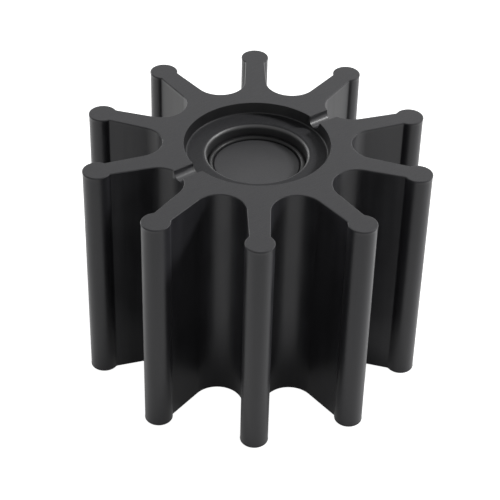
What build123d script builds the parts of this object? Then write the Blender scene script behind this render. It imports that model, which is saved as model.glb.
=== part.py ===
"""Ten-blade flexible pump impeller: a moulded rubber blade body on a keyed metal hub insert,
closed at its upper end by a plug with a sealing ring. Millimetres, +Z up the shaft axis,
origin at the centre of the lower end face."""
import os
from math import atan, cos, radians, sin, sqrt

from build123d import *

# Rubber blade body
tip_diameter = 95.0
impeller_length = 65.8
blade_count = 10
bulb_diameter = 7.5
neck_thickness = 5.0
root_thickness = 6.4
neck_fillet = 0.7
hub_diameter = 50.2

# Recess in the upper end face, with the mouth that leads down to the plug
recess_diameter = 39.0
recess_depth = 3.2
recess_draft = 0.6
recess_foot_fillet = 0.6
mouth_diameter = 26.6
mouth_round = 0.9
mouth_depth = 6.1

# Two vent grooves across the upper end face, from the recess out to the gaps between blades
groove_width = 4.1
groove_depth = 2.4

# Metal hub insert, keyed to the shaft and fluted on the outside for the rubber to grip
insert_diameter = 36.0
insert_setback = 0.6
flute_count = 8
flute_diameter = 4.0
flute_depth = 1.2
shaft_diameter = 25.0
shaft_clearance = 0.02
keyway_width = 8.0
keyway_depth = 3.3
bore_chamfer = 0.8

# Plug and sealing ring in the counterbore at the upper end of the insert. The ring is round
# above and flat where it sits on the plug's flange
ring_section = 1.7
ring_clearance = 0.02
plug_face_drop = 0.7
plug_flange_height = 2.4
plug_clearance = 0.05
plug_edge_chamfer = 0.4

tip_radius = tip_diameter / 2
hub_radius = hub_diameter / 2
bulb_radius = bulb_diameter / 2
bulb_centre = tip_radius - bulb_radius
insert_radius = insert_diameter / 2
bore_radius = shaft_diameter / 2 + shaft_clearance
mouth_radius = mouth_diameter / 2
insert_top = impeller_length - mouth_depth
ring_radius = ring_section / 2 - ring_clearance
ring_height = insert_top - ring_section / 2
stem_radius = mouth_radius - ring_section
plug_top = insert_top - plug_face_drop
flange_top = insert_top - ring_section
plug_seat = flange_top - plug_flange_height
half_pitch = 180 / blade_count


# Section of the blades. A blade is worked out pointing along +X, then turned to its place.
taper = atan((root_thickness - neck_thickness) / 2 / (bulb_centre - hub_radius))
flank_offset = cos(taper) * root_thickness / 2 + sin(taper) * hub_radius
valley_centre = (hub_radius - flank_offset) / (1 - sin(radians(half_pitch) + taper))
valley_radius = valley_centre - hub_radius


def on_flank(along):
    """Point of the upper flank, at a distance along it from the foot of its normal."""
    return Vector(
        flank_offset * sin(taper) + along * cos(taper),
        flank_offset * cos(taper) - along * sin(taper),
    )


bulb_along = bulb_centre * cos(taper)
bulb_inset = flank_offset - bulb_centre * sin(taper)
neck_reach = sqrt((bulb_radius + neck_fillet) ** 2 - (bulb_inset + neck_fillet) ** 2)
flank_start = on_flank(valley_centre * cos(radians(half_pitch) + taper))
flank_end = on_flank(bulb_along - neck_reach)
neck_centre = flank_end + Vector(sin(taper), cos(taper)) * neck_fillet
bulb_point = Vector(bulb_centre, 0)
to_bulb = (bulb_point - neck_centre).normalized()
bulb_start = neck_centre + to_bulb * neck_fillet
neck_side = (Vector(-sin(taper), -cos(taper)) + to_bulb).normalized()
neck_middle = neck_centre + neck_side * neck_fillet
tip_point = Vector(tip_radius, 0)
valley_middle = Vector(hub_radius, 0)


def placed(point, turn, side=1):
    """A point of the +X blade, on its upper (1) or lower (-1) side, turned about the axis."""
    return Vector(point.X, side * point.Y).rotate(Axis.Z, turn)


with BuildPart() as blade_body:
    with BuildSketch() as blade_section:
        with BuildLine() as outline:
            for blade in range(blade_count):
                turn = (2 * blade + 1) * half_pitch
                following = turn + 2 * half_pitch
                Line(placed(flank_start, turn, -1), placed(flank_end, turn, -1))
                ThreePointArc(
                    placed(flank_end, turn, -1),
                    placed(neck_middle, turn, -1),
                    placed(bulb_start, turn, -1),
                )
                ThreePointArc(
                    placed(bulb_start, turn, -1),
                    placed(tip_point, turn),
                    placed(bulb_start, turn),
                )
                ThreePointArc(
                    placed(bulb_start, turn),
                    placed(neck_middle, turn),
                    placed(flank_end, turn),
                )
                Line(placed(flank_end, turn), placed(flank_start, turn))
                ThreePointArc(
                    placed(flank_start, turn),
                    placed(valley_middle, turn + half_pitch),
                    placed(flank_start, following, -1),
                )
        make_face()
    extrude(amount=impeller_length)

    # Recess, its flat floor and the round-edged mouth down to the insert
    recess_radius = recess_diameter / 2
    recess_foot = recess_radius - recess_draft
    floor_top = impeller_length - recess_depth
    with BuildSketch(Plane.XZ) as recess_profile:
        with BuildLine():
            Polyline(
                (0, impeller_length),
                (recess_radius, impeller_length),
                (recess_foot, floor_top),
                (mouth_radius, floor_top),
                (mouth_radius, insert_top),
                (0, insert_top),
                close=True,
            )
        make_face()
        foot_corner = recess_profile.vertices().sort_by_distance((recess_foot, 0, floor_top))[0]
        fillet(foot_corner, recess_foot_fillet)
        mouth_corner = recess_profile.vertices().sort_by_distance((mouth_radius, 0, floor_top))[0]
        fillet(mouth_corner, mouth_round)
    revolve(axis=Axis.Z, mode=Mode.SUBTRACT)

    # Vent grooves with a round bottom, along X
    groove_radius = groove_width / 2
    with BuildSketch(Plane.YZ) as groove_profile:
        with Locations((0, impeller_length - groove_depth + groove_radius)):
            Circle(groove_radius)
            Rectangle(groove_width, groove_depth, align=(Align.CENTER, Align.MIN))
    extrude(amount=tip_radius, both=True, mode=Mode.SUBTRACT)

    # Seat of the hub insert, with a rib of rubber in each of its flutes
    with BuildSketch() as insert_section:
        Circle(insert_radius)
        flute_middle = insert_radius - flute_depth + flute_diameter / 2
        with PolarLocations(flute_middle, flute_count, start_angle=180 / flute_count):
            Circle(flute_diameter / 2, mode=Mode.SUBTRACT)
    extrude(amount=insert_top, mode=Mode.SUBTRACT)
blade_body.part.label = "blade_body"


with BuildPart() as hub_insert:
    with BuildSketch(Plane.XY.offset(insert_setback)):
        add(insert_section.sketch)
    extrude(amount=insert_top - insert_setback)

    # Shaft bore from below, and the wider seat of the plug from above
    with Locations((0, 0, insert_top)):
        CounterBoreHole(bore_radius, mouth_radius, insert_top - plug_seat)
    bore_edge = hub_insert.edges().filter_by(GeomType.CIRCLE).group_by(Axis.Z)[0].sort_by(
        SortBy.RADIUS
    )[0]
    chamfer(bore_edge, bore_chamfer)

    # Keyway, broached right through along +X
    with BuildSketch(Plane.XY.offset(insert_setback)):
        Rectangle(bore_radius + keyway_depth, keyway_width, align=(Align.MIN, Align.CENTER))
    extrude(amount=plug_seat - insert_setback, mode=Mode.SUBTRACT)
hub_insert.part.label = "hub_insert"


with BuildPart() as bore_plug:
    with BuildSketch(Plane.XY.offset(plug_seat)):
        Circle(mouth_radius - plug_clearance)
    extrude(amount=plug_flange_height)
    with BuildSketch(Plane.XY.offset(flange_top)):
        Circle(stem_radius)
    extrude(amount=plug_top - flange_top)
    chamfer(bore_plug.edges().group_by(Axis.Z)[-1], plug_edge_chamfer)
bore_plug.part.label = "bore_plug"


with BuildPart() as sealing_ring:
    with BuildSketch(Plane.XZ):
        with Locations((stem_radius + ring_section / 2, ring_height)):
            Circle(ring_radius)
            Rectangle(2 * ring_radius, ring_radius, align=(Align.CENTER, Align.MAX))
    revolve(axis=Axis.Z)
sealing_ring.part.label = "sealing_ring"


os.makedirs("parts", exist_ok=True)
for piece in (blade_body, hub_insert, bore_plug, sealing_ring):
    export_step(piece.part, f"parts/{piece.part.label}.step")
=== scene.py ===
from math import asin, atan, cos, pi, radians, sin, sqrt

import bmesh
import bpy
from mathutils import Matrix, Vector


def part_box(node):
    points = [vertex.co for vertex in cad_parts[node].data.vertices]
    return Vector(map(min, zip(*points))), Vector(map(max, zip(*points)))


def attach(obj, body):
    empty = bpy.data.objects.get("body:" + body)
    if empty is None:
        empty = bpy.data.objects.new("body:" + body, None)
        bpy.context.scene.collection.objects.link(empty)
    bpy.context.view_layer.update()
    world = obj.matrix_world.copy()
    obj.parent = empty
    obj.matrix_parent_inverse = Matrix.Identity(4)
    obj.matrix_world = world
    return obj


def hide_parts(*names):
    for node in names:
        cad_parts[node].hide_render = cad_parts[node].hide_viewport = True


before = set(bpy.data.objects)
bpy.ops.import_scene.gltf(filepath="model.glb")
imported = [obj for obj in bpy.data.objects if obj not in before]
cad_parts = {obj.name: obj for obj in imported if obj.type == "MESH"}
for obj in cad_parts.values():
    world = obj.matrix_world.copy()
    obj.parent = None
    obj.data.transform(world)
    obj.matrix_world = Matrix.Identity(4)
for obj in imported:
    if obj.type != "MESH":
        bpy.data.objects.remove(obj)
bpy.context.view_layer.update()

bl_info = {
    "name": "Flexible Pump Impeller",
    "version": (1, 0, 0),
    "blender": (4, 5, 0),
    "location": "3D View > Sidebar > Impeller",
    "description": "Builds a ten-blade rubber pump impeller, its hub insert and plug, and a stage",
    "category": "Add Mesh",
}

MM = 0.001
BODY = "root"

# Places that come from the frame, in metres
BODY_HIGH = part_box("blade_body")[1]
INSERT_LOW, INSERT_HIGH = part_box("hub_insert")
PLUG_LOW, PLUG_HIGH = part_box("bore_plug")
RING_LOW, RING_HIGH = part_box("sealing_ring")
ALONG_X = Vector((1, 0, 0))
UP = Vector((0, 0, 1))

# Small distances, in metres
SEAM_GAP = 0.02 * MM
SAME_POINT = 0.005 * MM


def length(name, description, millimetres):
    """A length that a user can change, given in millimetres."""
    return bpy.props.FloatProperty(
        name=name, description=description, default=millimetres * MM, min=0,
        unit="LENGTH", precision=4)


class ImpellerRubberSizes(bpy.types.PropertyGroup):
    """Sizes of the moulded rubber body."""

    blades: bpy.props.IntProperty(
        name="Blades", description="Number of blades round the hub", default=10, min=6, max=14)
    tip_radius: length("Tip radius", "Reach of a blade at the end faces", BODY_HIGH[1] / MM)
    height: length("Height", "Distance between the two end faces", BODY_HIGH[2] / MM)
    bulb_radius: length("Bulb radius", "Radius of a blade's round tip, at mid height", 3.73)
    neck_thickness: length("Neck thickness", "Blade thickness at the bulb's centre", 4.95)
    root_thickness: length("Root thickness", "Blade thickness at the hub", 6.3)
    neck_fillet: length("Neck fillet", "Hollow between a blade's side and its bulb", 0.8)
    hub_radius: length("Hub radius", "From the axis to the floor of a gap", 25.05)
    bulb_lip: length("Bulb lip", "How far a bulb spreads at an end face", 0.1)
    side_lip: length("Side lip", "How far the other walls spread at an end face", 0.06)
    lip_height: length("Lip height", "Height over which a wall spreads", 1.2)
    edge_round: length("Edge round", "Radius of the edge round an end face", 0.28)
    recess_radius: length("Recess radius", "Radius of the recess in the upper end face", 19.5)
    recess_draft: length("Recess draft", "How far the recess narrows towards its foot", 0.6)
    recess_depth: length("Recess depth", "Depth of the recess at the foot of its wall", 3.2)
    mouth_round: length("Mouth round", "Radius of the edge of the mouth over the plug", 1.2)
    groove_width: length("Groove width", "Width of the two vent grooves", 4.1)
    groove_depth: length("Groove depth", "Depth of the two vent grooves", 2.4)


class ImpellerMetalSizes(bpy.types.PropertyGroup):
    """Sizes of the metal hub insert."""

    flutes: bpy.props.IntProperty(
        name="Flutes", description="Number of flutes round the insert", default=8, min=3, max=16)
    flute_radius: length("Flute radius", "Radius of a flute's round floor", 2.0)
    flute_depth: length("Flute depth", "Depth of a flute", 1.2)
    bore_radius: length("Bore radius", "Radius of the shaft bore", 12.52)
    bore_chamfer: length("Bore chamfer", "Chamfer at the lower end of the bore", 0.8)
    keyway_width: length("Keyway width", "Width of the keyway", 8.0)
    keyway_depth: length("Keyway depth", "Depth of the keyway beyond the bore", 3.3)
    edge_chamfer: length("Edge chamfer", "Chamfer round the insert's two ends", 0.35)


def colour(name, description, value):
    """A colour that a user can change."""
    return bpy.props.FloatVectorProperty(
        name=name, description=description, subtype="COLOR", default=value, min=0, max=1)


def fraction(name, description, value):
    """A value from 0 to 1 that a user can change."""
    return bpy.props.FloatProperty(
        name=name, description=description, subtype="FACTOR", default=value, min=0, max=1)


class ImpellerFinishes(bpy.types.PropertyGroup):
    """Colours and gloss of the finishes."""

    wall: colour("Moulded rubber", "Colour of the moulded walls", (0.024, 0.024, 0.027))
    ground: colour("Ground rubber", "Colour of the ground end faces", (0.042, 0.042, 0.0445))
    plug: colour("Plug rubber", "Colour of the plug", (0.0395, 0.0395, 0.042))
    ring: colour("Ring rubber", "Colour of the sealing ring", (0.012, 0.012, 0.0125))
    brass: colour("Brass", "Colour of the hub insert", (0.60, 0.42, 0.18))
    wall_roughness: fraction("Wall roughness", "Roughness of the moulded walls", 0.36)
    wall_gloss: fraction("Wall gloss", "Gloss of the moulded walls", 0.33)
    ground_roughness: fraction("Ground roughness", "Roughness of the ground end faces", 0.62)
    ground_gloss: fraction("Ground gloss", "Gloss of the ground end faces", 0.16)
    floor_roughness: fraction("Floor roughness", "Roughness of the recess floor", 0.5)
    floor_gloss: fraction("Floor gloss", "Gloss of the recess floor", 0.03)
    groove_roughness: fraction("Groove roughness", "Roughness of the vent grooves", 0.28)
    groove_gloss: fraction("Groove gloss", "Gloss of the vent grooves", 0.8)
    mouth_gloss: fraction("Mouth gloss", "Gloss of the mouth's round edge and wall", 0.75)
    plug_roughness: fraction("Plug roughness", "Roughness of the plug", 0.6)
    plug_gloss: fraction("Plug gloss", "Gloss of the plug", 0.3)
    ring_roughness: fraction("Ring roughness", "Roughness of the sealing ring", 0.42)
    ring_gloss: fraction("Ring gloss", "Gloss of the sealing ring", 0.2)


def angle(name, description, turn):
    """An angle that a user can change, given in degrees."""
    return bpy.props.FloatProperty(
        name=name, description=description, default=radians(turn), subtype="ANGLE", precision=4)


class ImpellerStudio(bpy.types.PropertyGroup):
    """Camera and lights."""

    azimuth: angle("Azimuth", "Where the camera stands round the shaft axis", -127.84)
    elevation: angle("Elevation", "Height of the camera above the upper end face", 33.961)
    distance: length("Distance", "From the camera to the upper end face", 437.75)
    pan: angle("Pan", "Turn of the camera to the right", -0.1443)
    tilt: angle("Tilt", "Turn of the camera upwards", -3.7186)
    roll: angle("Roll", "Turn of the camera about its own axis", 1.651)
    lens: bpy.props.FloatProperty(
        name="Lens", description="Focal length on a 36 mm sensor", default=119.03,
        min=1, unit="CAMERA")
    ambient: bpy.props.FloatProperty(
        name="Ambient", description="Strength of the even light from all round",
        default=0.1, min=0)


# Drawing and sweeping

# Turn between two points of a profile's round corner, and steps of a profile round the axis
CORNER_STEP = radians(15)
FULL_TURN_STEPS = 144

# Faces that meet at a larger turn, in degrees, keep a sharp edge. A face that is this level, by
# its normal's height, stays flat.
SHARP_TURN = 38
LEVEL_NORMAL = 0.9995


def spin(bm, geometry, centre, turn, steps, axis=UP, copies=False):
    """Sweeps, or copies, geometry about an axis and returns what the last step made."""
    made = bmesh.ops.spin(
        bm, geom=geometry, cent=centre, axis=axis, dvec=(0, 0, 0), angle=turn,
        space=Matrix.Identity(4), steps=steps, use_merge=False, use_normal_flip=False,
        use_duplicate=copies)
    return made["geom_last"]


def line_to(bm, vertex, place):
    """Draws a straight edge from a vertex and returns its far end."""
    far = bmesh.ops.extrude_vert_indiv(bm, verts=[vertex])["verts"][0]
    bmesh.ops.translate(bm, verts=[far], vec=Vector(place) - far.co)
    return far


def arc_to(bm, vertex, centre, turn, step, axis=UP):
    """Draws an arc from a vertex about an axis through centre and returns its far end."""
    steps = max(2, round(abs(turn) / step))
    return spin(bm, [vertex], Vector(centre), turn, steps, axis)[0]


def corners_of(edges):
    """The vertices of some edges, each once and in the same order on each run."""
    return list(dict.fromkeys(vertex for edge in edges for vertex in edge.verts))


def join(bm, edges):
    """Merges the loose ends of edges that meet."""
    bmesh.ops.remove_doubles(bm, verts=corners_of(edges), dist=SAME_POINT)


def edges_after(bm, known):
    """The edges that aren't among the known ones."""
    return [edge for edge in bm.edges if edge not in known]


def raise_loop(bm, edges, height):
    """Extrudes a loop of edges to a height and returns the new loop."""
    made = bmesh.ops.extrude_edge_only(bm, edges=edges)["geom"]
    for item in made:
        if isinstance(item, bmesh.types.BMVert):
            item.co.z = height
    return [item for item in made if isinstance(item, bmesh.types.BMEdge)]


def flat_fill(bm, edges):
    """Fills the level region between loops of edges with flat faces."""
    bmesh.ops.triangle_fill(
        bm, use_beauty=True, use_dissolve=False, edges=edges, normal=UP)


def rounded(corners):
    """Points of a profile. A corner is (radius, height) or (radius, height, rounding)."""
    points = []
    for index, corner in enumerate(corners):
        here = Vector(corner[:2])
        if len(corner) == 2:
            points.append(here)
            continue
        before = (Vector(corners[index - 1][:2]) - here).normalized()
        after = (Vector(corners[(index + 1) % len(corners)][:2]) - here).normalized()
        half = before.angle(after) / 2
        middle = here + (before + after).normalized() * (corner[2] / sin(half))
        spoke = here + before * (corner[2] * cos(half) / sin(half)) - middle
        last = here + after * (corner[2] * cos(half) / sin(half)) - middle
        sweep = spoke.angle(last)
        if spoke.cross(last) < 0:
            sweep = -sweep
        steps = max(2, round(abs(sweep) / CORNER_STEP))
        for step in range(steps + 1):
            points.append(middle + Matrix.Rotation(sweep * step / steps, 2) @ spoke)
    return points


def turned(bm, corners, steps=FULL_TURN_STEPS, closed=False):
    """Turns a profile about the shaft axis and returns its first and last rings of edges."""
    points = rounded(corners)
    known = set(bm.edges)
    first = bm.verts.new((points[0].x, 0, points[0].y))
    chain = [first]
    for point in points[1:]:
        chain.append(line_to(bm, chain[-1], (point.x, 0, point.y)))
    if closed:
        bm.edges.new((chain[-1], first))
    profile = edges_after(bm, known)
    known.update(profile)
    bmesh.ops.spin(
        bm, geom=chain + profile, cent=(0, 0, 0), axis=UP, dvec=(0, 0, 0), angle=2 * pi,
        space=Matrix.Identity(4), steps=steps, use_merge=True, use_normal_flip=False,
        use_duplicate=False)
    fresh = edges_after(bm, known)
    rings = []
    for point in (points[0], points[-1]):
        rings.append([
            edge for edge in fresh
            if all(abs(end.co.z - point.y) < SAME_POINT
                   and abs(end.co.xy.length - point.x) < SAME_POINT for end in edge.verts)])
    return rings


def finished(bm, name, material, sharp=SHARP_TURN):
    """Makes a smooth object of a closed bmesh, with sharp edges where its faces turn away and
    flat level faces, and hands it to the frame in place of the CAD node of that name."""
    bmesh.ops.recalc_face_normals(bm, faces=bm.faces[:])
    mesh = bpy.data.meshes.new(name)
    bm.to_mesh(mesh)
    bm.free()
    mesh.set_sharp_from_angle(angle=radians(sharp))
    for face in mesh.polygons:
        face.use_smooth = abs(face.normal.z) < LEVEL_NORMAL
    mesh.materials.append(material)
    piece = bpy.data.objects.new("fine_" + name, mesh)
    bpy.context.scene.collection.objects.link(piece)
    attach(piece, BODY)
    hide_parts(name)
    return piece


# Blade body

# Steps in which a wall spreads into its lip, and in which the edge beyond the lip turns over
LIP_STEPS = 5
EDGE_STEPS = 4
LOWER_LIP_SHARE = 0.6

# Where the bulbs' lip takes over from the walls', as shares of the tip radius
BULB_LIP_START = 0.82
BULB_LIP_SPAN = 0.07

# Band of end face that is turned with the recess, and the edges of the recess and the grooves
END_FACE_BAND = 0.5 * MM
RECESS_EDGE_ROUND = 0.15 * MM
RECESS_FOOT_ROUND = 0.6 * MM
GROOVE_EASE = 0.45 * MM
GROOVE_EASE_TURN = radians(62)


def blade_outline(bm, sizes):
    """Draws the closed outline of all the blades at height 0: half a blade along +X, from the
    middle of a gap to the tip, mirrored and then copied round the axis."""
    pitch = 2 * pi / sizes.blades
    bulb_centre = sizes.tip_radius - sizes.bulb_lip - sizes.bulb_radius
    taper = atan((sizes.root_thickness - sizes.neck_thickness) / 2
                 / (bulb_centre - sizes.hub_radius))
    offset = cos(taper) * sizes.root_thickness / 2 + sin(taper) * sizes.hub_radius
    gap_reach = (sizes.hub_radius - offset) / (1 - sin(pitch / 2 + taper))
    to_gap = Vector((cos(pitch / 2), -sin(pitch / 2), 0))
    outward = Vector((sin(taper), -cos(taper), 0))
    along = Vector((cos(taper), sin(taper), 0))
    inset = offset - bulb_centre * sin(taper)
    reach = sqrt((sizes.bulb_radius + sizes.neck_fillet) ** 2 - (inset + sizes.neck_fillet) ** 2)
    flank_end = outward * offset + along * (bulb_centre * cos(taper) - reach)
    neck_centre = flank_end + outward * sizes.neck_fillet
    to_bulb = (ALONG_X * bulb_centre - neck_centre).normalized()

    start = bm.verts.new(to_gap * sizes.hub_radius)
    root = arc_to(bm, start, to_gap * gap_reach, taper + pitch / 2 - pi / 2, radians(4))
    neck = line_to(bm, root, flank_end)
    bulb = arc_to(bm, neck, neck_centre, -to_bulb.angle(-outward), radians(8))
    arc_to(bm, bulb, ALONG_X * bulb_centre, pi - to_bulb.angle(ALONG_X), radians(6))
    half = bmesh.ops.duplicate(bm, geom=bm.verts[:] + bm.edges[:])["geom"]
    other = [item for item in half if isinstance(item, bmesh.types.BMVert)]
    bmesh.ops.scale(bm, vec=(1, -1, 1), verts=other)
    join(bm, bm.edges)
    bmesh.ops.rotate(
        bm, verts=bm.verts[:], cent=(0, 0, 0), matrix=Matrix.Rotation(pitch / 2, 3, "Z"))
    spin(bm, bm.verts[:] + bm.edges[:], (0, 0, 0), 2 * pi - pitch, sizes.blades - 1, copies=True)
    join(bm, bm.edges)
    return bm.edges[:]


def carry_rim(bm, edges, homes, end, inward, sizes, lip_share):
    """Carries a rim of the wall on to an end face. It spreads into that share of its thin lip,
    which is widest at the bulbs, and turns over a small round edge. inward is the way into the
    part, 1 or -1."""
    rows = []
    for step in range(1, LIP_STEPS + 1):
        way = step / LIP_STEPS
        drop = sizes.edge_round + (sizes.lip_height - sizes.edge_round) * (1 - way)
        rows.append((drop, way ** 2, 0))
    for step in range(1, EDGE_STEPS + 1):
        turn = step / EDGE_STEPS * pi / 2
        rows.append((sizes.edge_round * (1 - sin(turn)), 1, sizes.edge_round * (cos(turn) - 1)))
    for drop, spread, back in rows:
        edges = raise_loop(bm, edges, end + inward * drop)
        carried = {}
        for vertex in corners_of(edges):
            below = next(
                edge.other_vert(vertex) for edge in vertex.link_edges
                if edge.other_vert(vertex) in homes)
            home, normal, lip = homes[below]
            vertex.co.xy = home + normal * (lip * lip_share * spread + back)
            carried[vertex] = homes[below]
        homes = carried
    return edges


def wall_homes(edges, sizes):
    """Where each vertex of a rim stands, which way is out of the wall there, and its lip."""
    homes = {}
    for vertex in corners_of(edges):
        place = vertex.co.xy
        beyond = place.length / sizes.tip_radius - BULB_LIP_START
        at_bulb = min(1, max(0, beyond / BULB_LIP_SPAN))
        lip = sizes.side_lip + (sizes.bulb_lip - sizes.side_lip) * at_bulb
        homes[vertex] = (place.copy(), vertex.normal.xy.normalized(), lip)
    return homes


def insert_outline(bm, sizes, radius, height):
    """Draws the fluted outline where rubber and metal meet: a flute and a land, copied round."""
    known = set(bm.edges)
    middle = radius - sizes.flute_depth + sizes.flute_radius
    half = radius ** 2 + middle ** 2 - sizes.flute_radius ** 2
    reach = half / (2 * middle)
    corner = Vector((reach, -sqrt(radius ** 2 - reach ** 2), height))
    start = bm.verts.new(corner)
    flute_turn = 2 * asin(-corner.y / sizes.flute_radius)
    edge_turn = 2 * asin(-corner.y / radius)
    lip = arc_to(bm, start, (middle, 0, height), -flute_turn, radians(15))
    arc_to(bm, lip, (0, 0, height), 2 * pi / sizes.flutes - edge_turn, radians(4))
    drawn = edges_after(bm, known)
    bmesh.ops.rotate(
        bm, verts=corners_of(drawn), cent=(0, 0, 0),
        matrix=Matrix.Rotation(pi / sizes.flutes, 3, "Z"))
    spin(
        bm, corners_of(drawn) + drawn, (0, 0, 0), 2 * pi * (1 - 1 / sizes.flutes),
        sizes.flutes - 1, copies=True)
    join(bm, edges_after(bm, known))
    return edges_after(bm, known)


def groove_cutter(sizes):
    """The shape that both vent grooves take out: a round floor, with the upper edges eased."""
    bm = bmesh.new()
    radius = sizes.groove_width / 2
    level = sizes.height - sizes.groove_depth + radius
    above = sizes.height + 3 * GROOVE_EASE
    floor = bm.verts.new((-sizes.tip_radius, 0, level - radius))
    side = arc_to(bm, floor, floor.co + UP * radius, pi / 2, radians(9), ALONG_X)
    eased = side.co + Vector((0, GROOVE_EASE, 0))
    rim = arc_to(bm, side, eased, -GROOVE_EASE_TURN, radians(9), ALONG_X)
    corner = line_to(bm, rim, (-sizes.tip_radius, radius + 3 * GROOVE_EASE, above))
    line_to(bm, corner, (-sizes.tip_radius, 0, above))
    half = bmesh.ops.duplicate(bm, geom=bm.verts[:] + bm.edges[:])["geom"]
    other = [item for item in half if isinstance(item, bmesh.types.BMVert)]
    bmesh.ops.scale(bm, vec=(1, -1, 1), verts=other)
    join(bm, bm.edges)
    face = bmesh.ops.contextual_create(bm, geom=bm.verts[:] + bm.edges[:])["faces"]
    made = bmesh.ops.extrude_face_region(bm, geom=face, use_keep_orig=True)["geom"]
    far = [item for item in made if isinstance(item, bmesh.types.BMVert)]
    bmesh.ops.translate(bm, verts=far, vec=ALONG_X * 2 * sizes.tip_radius)
    return bm


def carved(bm, cutter):
    """Takes the cutter out of a closed bmesh and returns what is left."""
    bodies = []
    for name, source in (("Uncut", bm), ("Cutter", cutter)):
        bmesh.ops.recalc_face_normals(source, faces=source.faces[:])
        mesh = bpy.data.meshes.new(name)
        source.to_mesh(mesh)
        source.free()
        bodies.append(bpy.data.objects.new(name, mesh))
        bpy.context.scene.collection.objects.link(bodies[-1])
    uncut, knife = bodies
    cut = uncut.modifiers.new("Cut", "BOOLEAN")
    cut.operation = "DIFFERENCE"
    cut.solver = "EXACT"
    cut.object = knife
    result = bmesh.new()
    result.from_object(uncut, bpy.context.evaluated_depsgraph_get())
    for body in bodies:
        mesh = body.data
        bpy.data.objects.remove(body)
        bpy.data.meshes.remove(mesh)
    return result


def blade_body_mesh(sizes, metal):
    """The rubber body: walls with their lips, recess, mouth, seat of the insert and grooves."""
    bm = bmesh.new()
    top = sizes.height
    outline = blade_outline(bm, sizes)
    bmesh.ops.translate(bm, verts=bm.verts[:], vec=UP * sizes.lip_height)
    upper = raise_loop(bm, outline, top - sizes.lip_height)
    bmesh.ops.recalc_face_normals(bm, faces=bm.faces[:])
    farthest = max(corners_of(upper), key=lambda vertex: vertex.co.xy.length)
    if farthest.normal.xy.dot(farthest.co.xy) < 0:
        bmesh.ops.reverse_faces(bm, faces=bm.faces[:])
    bm.normal_update()
    upper_homes = wall_homes(upper, sizes)
    lower_homes = wall_homes(outline, sizes)
    upper = carry_rim(bm, upper, upper_homes, top, -1, sizes, 1)
    lower = carry_rim(bm, outline, lower_homes, 0, 1, sizes, LOWER_LIP_SHARE)

    seat = INSERT_HIGH[2]
    floor = top - sizes.recess_depth
    mouth = RING_HIGH[0] + SEAM_GAP
    recess_rim, mouth_foot = turned(bm, [
        (sizes.recess_radius + END_FACE_BAND, top),
        (sizes.recess_radius, top, RECESS_EDGE_ROUND),
        (sizes.recess_radius - sizes.recess_draft, floor, RECESS_FOOT_ROUND),
        (mouth, floor, sizes.mouth_round),
        (mouth, seat),
    ])
    bottom_hole = insert_outline(bm, metal, INSERT_HIGH[0], 0)
    seat_edge = raise_loop(bm, bottom_hole, seat)
    flat_fill(bm, upper + recess_rim)
    flat_fill(bm, seat_edge + mouth_foot)
    flat_fill(bm, lower + bottom_hole)
    return carved(bm, groove_cutter(sizes))


# Hub insert, plug and ring

INSERT_SHARP_TURN = 30

# The plug's underside has a shallow hollow inside a flat land
PLUG_HOLLOW = 0.3 * MM
PLUG_LAND = 2.6 * MM
PLUG_UNDERCUT = 0.2 * MM
PLUG_RIM_ROUND = 0.45 * MM
PLUG_STEPS = 120

# The ring's two upper rounds stop just short of each other
NEARLY_WHOLE = 0.999


def bore_outline(bm, sizes, spread, height):
    """Draws the bore and its keyway as a closed outline, with the bore spread by that much."""
    known = set(bm.edges)
    radius = sizes.bore_radius + spread
    half_key = sizes.keyway_width / 2
    foot = Vector((sqrt(radius ** 2 - half_key ** 2), half_key, height))
    reach = sizes.bore_radius + sizes.keyway_depth
    start = bm.verts.new(foot)
    far = arc_to(bm, start, (0, 0, height), 2 * pi - 2 * asin(half_key / radius), radians(3))
    corner = line_to(bm, far, (reach, -half_key, height))
    across = line_to(bm, corner, (reach, half_key, height))
    line_to(bm, across, foot)
    join(bm, edges_after(bm, known))
    return edges_after(bm, known)


def hub_insert_mesh(sizes):
    """The fluted insert, with its keyed bore from below and the plug's seat from above."""
    bm = bmesh.new()
    low, high = INSERT_LOW[2], INSERT_HIGH[2]
    chamfer = sizes.edge_chamfer
    radius = INSERT_HIGH[0]
    outer = insert_outline(bm, sizes, radius, low + chamfer)
    shrink = (radius - chamfer) / radius
    bottom = raise_loop(bm, outer, low)
    bmesh.ops.scale(bm, vec=(shrink, shrink, 1), verts=corners_of(bottom))
    shoulder = raise_loop(bm, outer, high - chamfer)
    top = raise_loop(bm, shoulder, high)
    bmesh.ops.scale(bm, vec=(shrink, shrink, 1), verts=corners_of(top))

    bore = bore_outline(bm, sizes, 0, low + sizes.bore_chamfer)
    bore_end = raise_loop(bm, bore, PLUG_LOW[2])
    bore_mouth = raise_loop(bm, bore, low)
    for vertex in corners_of(bore_mouth):
        reach = vertex.co.xy.length
        if reach < sizes.bore_radius + SAME_POINT:
            vertex.co.xy *= (reach + sizes.bore_chamfer) / reach
    seat = RING_HIGH[0] + SEAM_GAP
    seat_low, seat_high = turned(bm, [(seat, PLUG_LOW[2]), (seat, high)])
    flat_fill(bm, bottom + bore_mouth)
    flat_fill(bm, bore_end + seat_low)
    flat_fill(bm, top + seat_high)
    return bm


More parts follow.
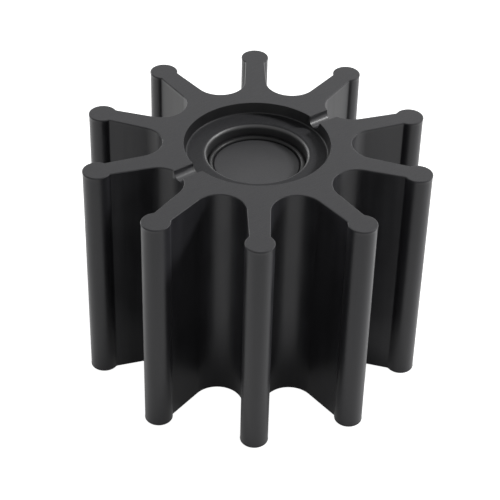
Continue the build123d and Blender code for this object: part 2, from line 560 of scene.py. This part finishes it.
def bore_plug_mesh():
    """The plug: a flange on its seat and a shorter boss, whose rim is rounded."""
    bm = bmesh.new()
    low, high = PLUG_LOW[2], PLUG_HIGH[2]
    reach = PLUG_HIGH[0]
    land = reach - PLUG_LAND
    stem = RING_HIGH[0] - (RING_HIGH[2] - RING_LOW[2]) - SEAM_GAP
    shelf = RING_LOW[2] - SEAM_GAP
    turned(bm, [
        (0, low + PLUG_HOLLOW),
        (land + PLUG_UNDERCUT, low + PLUG_HOLLOW, 0.15 * MM),
        (land, low, 0.1 * MM),
        (reach, low, 0.3 * MM),
        (reach, shelf, 0.2 * MM),
        (stem, shelf),
        (stem, high, PLUG_RIM_ROUND),
        (0, high),
    ], PLUG_STEPS)
    bmesh.ops.remove_doubles(bm, verts=bm.verts[:], dist=SAME_POINT)
    return bm


def sealing_ring_mesh():
    """The sealing ring, round above and flat below."""
    bm = bmesh.new()
    radius = (RING_HIGH[2] - RING_LOW[2]) / 2
    middle = RING_HIGH[0] - radius
    turned(bm, [
        (middle, RING_LOW[2]),
        (middle + radius, RING_LOW[2], 0.2 * MM),
        (middle + radius, RING_HIGH[2], radius * NEARLY_WHOLE),
        (middle - radius, RING_HIGH[2], radius * NEARLY_WHOLE),
        (middle - radius, RING_LOW[2], 0.2 * MM),
    ], closed=True)
    bmesh.ops.remove_doubles(bm, verts=bm.verts[:], dist=SAME_POINT)
    return bm


# Finishes

# How much painted shade darkens the recess walls and mouth against the other walls, and the depths
# of the bumps
RECESS_PAINTED_SHADE = 0.25
GRAIN_DEPTH = 0.02 * MM
RING_GRAIN_DEPTH = 0.003 * MM
TURNING_DEPTH = 0.006 * MM


class Finish:
    """A node material that is being put together."""

    def __init__(self, name):
        self.material = bpy.data.materials.new(name)
        self.material.use_nodes = True
        self.tree = self.material.node_tree
        self.shader = self.tree.nodes["Principled BSDF"]
        self.place = self.add("ShaderNodeTexCoord").outputs["Object"]

    def add(self, kind, inputs=(), **settings):
        """Adds a node. An input is a number, a colour or another node's output."""
        node = self.tree.nodes.new(kind)
        for name, value in settings.items():
            setattr(node, name, value)
        for name, value in dict(inputs).items():
            if isinstance(value, bpy.types.NodeSocket):
                self.tree.links.new(value, node.inputs[name])
            else:
                node.inputs[name].default_value = value
        return node

    def maths(self, operation, first, second=0.0):
        """Works out one number from two."""
        return self.add(
            "ShaderNodeMath", {0: first, 1: second}, operation=operation).outputs[0]

    def both(self, first, second):
        """Where both masks are."""
        return self.maths("MULTIPLY", first, second)

    def either(self, first, second):
        """Where one of two masks is."""
        return self.maths("MAXIMUM", first, second)

    def noise(self, scale, detail=2.0, stretch=None, turn=0.0):
        """Noise in cycles to the metre, stretched along the axes where stretch is given."""
        place = self.place
        if stretch:
            place = self.add("ShaderNodeMapping", {
                "Vector": place, "Scale": stretch, "Rotation": (0, 0, radians(turn))}).outputs[0]
        return self.add("ShaderNodeTexNoise", {
            "Vector": place, "Scale": scale, "Detail": detail}).outputs["Fac"]

    def between(self, value, start, end, low=0.0, high=1.0):
        """Maps start to end on to low to high, and holds it there beyond."""
        return self.add("ShaderNodeMapRange", {
            "Value": value, "From Min": start, "From Max": end,
            "To Min": low, "To Max": high}).outputs[0]

    def mix(self, share, first, second):
        """Mixes two numbers."""
        return self.add("ShaderNodeMix", {0: share, 2: first, 3: second}).outputs[0]

    def mix_colour(self, share, first, second):
        """Mixes two colours."""
        return self.add(
            "ShaderNodeMix", {0: share, 6: first, 7: second}, data_type="RGBA").outputs[2]

    def shade(self, **sockets):
        """Sets or links sockets of the shader, named with underscores."""
        for name, value in sockets.items():
            socket = self.shader.inputs[name.replace("_", " ")]
            if isinstance(value, bpy.types.NodeSocket):
                self.tree.links.new(value, socket)
            else:
                socket.default_value = value

    def bump(self, height, depth):
        """Raises the surface by height times depth, in metres."""
        made = self.add("ShaderNodeBump", {"Height": height, "Distance": depth, "Strength": 1.0})
        self.tree.links.new(made.outputs["Normal"], self.shader.inputs["Normal"])


def shades(value, factor):
    """A colour made darker or lighter, with its alpha."""
    return (value[0] * factor, value[1] * factor, value[2] * factor, 1)


def blade_rubber(finishes, sizes):
    """Moulded black rubber: satin walls, end faces ground to a fine matt, glossy vent grooves,
    and a recess with a matt floor, walls and mouth darkened by painted shade, and a glossy mouth.
    A mask for each of these places fades out over a tenth of a millimetre or so."""
    finish = Finish("Blade rubber")
    height = sizes.height
    floor_level = height - sizes.recess_depth
    groove_level = height - sizes.groove_depth
    half_groove = sizes.groove_width / 2
    parts = finish.add("ShaderNodeSeparateXYZ", {0: finish.place}).outputs
    level, across = parts["Z"], parts["Y"]
    flat = finish.add(
        "ShaderNodeVectorMath", {0: finish.place, 1: (1, 1, 0)}, operation="MULTIPLY").outputs[0]
    reach = finish.add("ShaderNodeVectorMath", {0: flat}, operation="LENGTH").outputs["Value"]
    inside = finish.between(
        reach, sizes.recess_radius + 0.4 * MM, sizes.recess_radius + 0.3 * MM)
    floor = finish.both(inside, finish.both(
        finish.between(level, floor_level - 0.25 * MM, floor_level - 0.1 * MM),
        finish.between(level, floor_level + 0.3 * MM, floor_level + 0.15 * MM)))
    mouth = finish.both(inside, finish.between(level, floor_level, floor_level - 0.15 * MM))
    ground = finish.either(
        finish.between(level, height - 0.1 * MM, height - 0.02 * MM),
        finish.between(level, 0.1 * MM, 0.02 * MM))
    groove = finish.both(
        finish.between(
            finish.maths("MULTIPLY", across, across),
            (half_groove + 0.4 * MM) ** 2, (half_groove + 0.2 * MM) ** 2),
        finish.between(level, groove_level - 0.1 * MM, groove_level))
    matt = finish.either(ground, floor)

    cloud = finish.noise(75, 3)
    grain = finish.noise(2600, 3)
    streak = finish.noise(60, 4, (10, 10, 0.6))
    scuff = finish.noise(260, 4, (1, 9, 1), 24)
    wall = finish.mix_colour(
        finish.maths("MULTIPLY", cloud, streak),
        shades(finishes.wall, 0.72), shades(finishes.wall, 1.9))
    # Painted shade: the walls and mouth of the recess take a darker copy of the wall colour
    wall = finish.mix_colour(inside, wall, shades(finishes.wall, RECESS_PAINTED_SHADE))
    face = finish.mix_colour(
        finish.maths("ADD", finish.maths("MULTIPLY", grain, 0.6), finish.maths(
            "MULTIPLY", scuff, 0.4)),
        shades(finishes.ground, 0.6), shades(finishes.ground, 1.4))
    roughness = finish.between(
        finish.maths("ADD", cloud, streak), 0.7, 1.3,
        finishes.wall_roughness - 0.05, finishes.wall_roughness + 0.07)
    roughness = finish.mix(groove, roughness, finishes.groove_roughness)
    roughness = finish.mix(finish.either(floor, mouth), roughness, finishes.floor_roughness)
    roughness = finish.mix(ground, roughness, finishes.ground_roughness)
    gloss = finish.mix(mouth, finishes.wall_gloss, finishes.mouth_gloss)
    gloss = finish.mix(groove, gloss, finishes.groove_gloss)
    gloss = finish.mix(ground, gloss, finishes.ground_gloss)
    gloss = finish.mix(floor, gloss, finishes.floor_gloss)
    finish.shade(
        Base_Color=finish.mix_colour(matt, wall, face),
        Roughness=roughness, Specular_IOR_Level=gloss)
    finish.bump(
        finish.mix(matt, finish.maths("MULTIPLY", grain, 0.25), finish.maths(
            "ADD", grain, finish.maths("MULTIPLY", scuff, 0.5))),
        GRAIN_DEPTH)
    return finish.material


def plain_rubber(name, tone, roughness, gloss, depth):
    """Black rubber with a fine grain of that depth, in metres."""
    finish = Finish(name)
    cloud = finish.noise(120, 3)
    grain = finish.noise(2600, 3)
    finish.shade(
        Base_Color=finish.mix_colour(
            finish.mix(0.5, cloud, grain), shades(tone, 0.6), shades(tone, 1.4)),
        Roughness=finish.between(cloud, 0.3, 0.7, roughness - 0.05, roughness + 0.05),
        Specular_IOR_Level=gloss)
    finish.bump(grain, depth)
    return finish.material


def machined_brass(tone, rubber):
    """Turned brass: fine rings round the axis, and a dull tarnish in patches. The seat of the
    sealing ring has a skin of black rubber."""
    finish = Finish("Machined brass")
    level = finish.add("ShaderNodeSeparateXYZ", {0: finish.place}).outputs["Z"]
    skin = finish.between(level, RING_LOW[2] - 0.3 * MM, RING_LOW[2] - 0.1 * MM)
    cloud = finish.noise(110, 4)
    rings = finish.add(
        "ShaderNodeTexWave",
        {"Vector": finish.place, "Scale": 900.0, "Distortion": 0.6, "Detail": 2.0},
        wave_type="RINGS", rings_direction="Z").outputs["Fac"]
    turns = finish.noise(70, 3, (1, 1, 28))
    metal = finish.mix_colour(
        finish.between(cloud, 0.35, 0.7), shades(tone, 1.0), shades(tone, 0.62))
    finish.shade(
        Base_Color=finish.mix_colour(skin, metal, shades(rubber, 0.4)),
        Metallic=finish.mix(skin, 1.0, 0.0),
        Roughness=finish.mix(skin, finish.between(cloud, 0.3, 0.7, 0.24, 0.42), 0.6))
    finish.bump(finish.mix(0.5, rings, turns), TURNING_DEPTH)
    return finish.material


# Operators for the pieces


class IMPELLER_OT_blade_body(bpy.types.Operator):
    """Builds the moulded rubber body with its ten blades"""

    bl_idname = "impeller.blade_body"
    bl_label = "Blade body"

    def execute(self, context):
        scene = context.scene
        bm = blade_body_mesh(scene.impeller_rubber, scene.impeller_metal)
        material = blade_rubber(scene.impeller_finishes, scene.impeller_rubber)
        finished(bm, "blade_body", material)
        return {"FINISHED"}


class IMPELLER_OT_hub_insert(bpy.types.Operator):
    """Builds the keyed metal insert inside the rubber"""

    bl_idname = "impeller.hub_insert"
    bl_label = "Hub insert"

    def execute(self, context):
        scene = context.scene
        bm = hub_insert_mesh(scene.impeller_metal)
        finishes = scene.impeller_finishes
        material = machined_brass(finishes.brass, finishes.wall)
        finished(bm, "hub_insert", material, INSERT_SHARP_TURN)
        return {"FINISHED"}


class IMPELLER_OT_plug_and_ring(bpy.types.Operator):
    """Builds the plug that closes the bore, and its sealing ring"""

    bl_idname = "impeller.plug_and_ring"
    bl_label = "Plug and sealing ring"

    def execute(self, context):
        finishes = context.scene.impeller_finishes
        plug = plain_rubber(
            "Plug rubber", finishes.plug, finishes.plug_roughness, finishes.plug_gloss,
            GRAIN_DEPTH)
        finished(bore_plug_mesh(), "bore_plug", plug)
        ring = plain_rubber(
            "Ring rubber", finishes.ring, finishes.ring_roughness, finishes.ring_gloss,
            RING_GRAIN_DEPTH)
        finished(sealing_ring_mesh(), "sealing_ring", ring)
        return {"FINISHED"}


# Stage

# Soft square lights: turn from the picture's right round by the back and height, in degrees,
# then side in metres and power in watts
LAMPS = {
    "Key light": (15, 38, 0.38, 33),
    "Right light": (62, 15, 1.0, 16),
    "Left light": (131, 12, 1.0, 26),
    "Back light": (90, 24, 1.2, 5),
}
LAMP_DISTANCE = 2
LAMP_AIM = UP * 0.04

WHITE = (1, 1, 1, 1)
FLOOR_TONE = (0.5, 0.5, 0.5, 1)
FLOOR_RADIUS = 6

# Painted shadow for glosses: a gloss sees the floor's white dimmed up to the first distance from
# the axis, and whole from the second
PAINTED_SHADOW_REACH = 36 * MM
PAINTED_SHADOW_END = 55 * MM
PAINTED_SHADOW_WHITE = 0.2


def lamp(name, around, azimuth, elevation, size, power):
    """Adds a soft square light that points at the middle of the part."""
    data = bpy.data.lights.new(name, "AREA")
    data.size = size
    data.energy = power
    light = bpy.data.objects.new(name, data)
    way = Matrix.Rotation(radians(azimuth), 3, "Z") @ Matrix.Rotation(
        radians(-elevation), 3, "Y") @ ALONG_X
    light.location = around @ (way * LAMP_DISTANCE + LAMP_AIM)
    light.rotation_mode = "QUATERNION"
    light.rotation_quaternion = (around @ way).to_track_quat("Z", "Y")
    bpy.context.scene.collection.objects.link(light)


def seen_rays(tree):
    """1 for the rays that show the background: the camera's, and those that a gloss or glass
    sends on."""
    paths = tree.nodes.new("ShaderNodeLightPath")
    seen = paths.outputs["Is Camera Ray"]
    for kind in ("Is Glossy Ray", "Is Transmission Ray"):
        either = tree.nodes.new("ShaderNodeMath")
        either.operation = "MAXIMUM"
        tree.links.new(seen, either.inputs[0])
        tree.links.new(paths.outputs[kind], either.inputs[1])
        seen = either.outputs[0]
    return seen


def pale_floor():
    """A white floor that shows white to the camera and keeps the part's shadow. A gloss sees a
    painted shadow on it: its white is dimmed close round the axis, where the part stands."""
    bm = bmesh.new()
    bmesh.ops.create_circle(bm, cap_ends=True, segments=64, radius=FLOOR_RADIUS)
    mesh = bpy.data.meshes.new("Floor")
    bm.to_mesh(mesh)
    bm.free()
    floor = bpy.data.objects.new("Floor", mesh)
    bpy.context.scene.collection.objects.link(floor)
    finish = Finish("Pale floor")
    reach = finish.add("ShaderNodeVectorMath", {0: finish.place}, operation="LENGTH")
    # Painted shadow: the white that a gloss sees is dimmed near the part
    painted_shadow_level = finish.between(reach.outputs["Value"], PAINTED_SHADOW_REACH, PAINTED_SHADOW_END, PAINTED_SHADOW_WHITE, 1.0)
    straight = finish.add("ShaderNodeLightPath").outputs["Is Camera Ray"]
    finish.shade(
        Base_Color=FLOOR_TONE, Roughness=0.9, Specular_IOR_Level=0.0, Emission_Color=WHITE,
        Emission_Strength=finish.maths(
            "MULTIPLY", seen_rays(finish.tree), finish.mix(straight, painted_shadow_level, 1.0)))
    mesh.materials.append(finish.material)


def studio_world(ambient):
    """Even white light from all round, which shows as plain white."""
    world = bpy.data.worlds.new("Studio")
    world.use_nodes = True
    tree = world.node_tree
    sky = tree.nodes["Background"]
    sky.inputs["Color"].default_value = WHITE
    level = tree.nodes.new("ShaderNodeMapRange")
    level.inputs["To Min"].default_value = ambient
    level.inputs["To Max"].default_value = 1.0
    tree.links.new(seen_rays(tree), level.inputs["Value"])
    tree.links.new(level.outputs[0], sky.inputs["Strength"])
    bpy.context.scene.world = world


class IMPELLER_OT_stage(bpy.types.Operator):
    """Sets up the pale floor, the soft light and the camera"""

    bl_idname = "impeller.stage"
    bl_label = "Stage"

    def execute(self, context):
        studio = context.scene.impeller_studio
        height = context.scene.impeller_rubber.height
        pale_floor()
        studio_world(studio.ambient)
        around = Matrix.Rotation(studio.azimuth + pi / 2, 4, "Z")
        for name, values in LAMPS.items():
            lamp(name, around, *values)

        camera = bpy.data.objects.new("Camera", bpy.data.cameras.new("Camera"))
        camera.data.sensor_width = 36
        camera.data.lens = studio.lens
        camera.data.clip_start = 0.01
        facing = (
            Matrix.Translation(UP * height) @ around
            @ Matrix.Rotation(pi / 2 - studio.elevation, 4, "X"))
        camera.matrix_world = (
            facing @ Matrix.Translation(UP * studio.distance)
            @ Matrix.Rotation(-studio.pan, 4, "Y") @ Matrix.Rotation(studio.tilt, 4, "X")
            @ Matrix.Rotation(studio.roll, 4, "Z"))
        context.scene.collection.objects.link(camera)
        context.scene.camera = camera
        context.scene.view_settings.view_transform = "Standard"
        return {"FINISHED"}


# Panel and registration


class IMPELLER_PT_pieces(bpy.types.Panel):
    """Lists the pieces of the impeller and the stage"""

    bl_label = "Pump impeller"
    bl_idname = "IMPELLER_PT_pieces"
    bl_space_type = "VIEW_3D"
    bl_region_type = "UI"
    bl_category = "Impeller"

    def draw(self, context):
        scene = context.scene
        for group in (scene.impeller_rubber, scene.impeller_metal, scene.impeller_finishes,
                      scene.impeller_studio):
            box = self.layout.box()
            for name in group.__annotations__:
                box.prop(group, name)
        for operator in OPERATORS:
            self.layout.operator(operator.bl_idname)


GROUPS = {
    "impeller_rubber": ImpellerRubberSizes,
    "impeller_metal": ImpellerMetalSizes,
    "impeller_finishes": ImpellerFinishes,
    "impeller_studio": ImpellerStudio,
}
OPERATORS = (
    IMPELLER_OT_blade_body,
    IMPELLER_OT_hub_insert,
    IMPELLER_OT_plug_and_ring,
    IMPELLER_OT_stage,
)


def register():
    for name, group in GROUPS.items():
        bpy.utils.register_class(group)
        setattr(bpy.types.Scene, name, bpy.props.PointerProperty(type=group))
    for item in OPERATORS + (IMPELLER_PT_pieces,):
        bpy.utils.register_class(item)


def unregister():
    for item in reversed(OPERATORS + (IMPELLER_PT_pieces,)):
        bpy.utils.unregister_class(item)
    for name, group in GROUPS.items():
        delattr(bpy.types.Scene, name)
        bpy.utils.unregister_class(group)


def main():
    register()
    bpy.ops.impeller.blade_body()
    bpy.ops.impeller.hub_insert()
    bpy.ops.impeller.plug_and_ring()
    bpy.ops.impeller.stage()


if __name__ == "__main__":
    main()
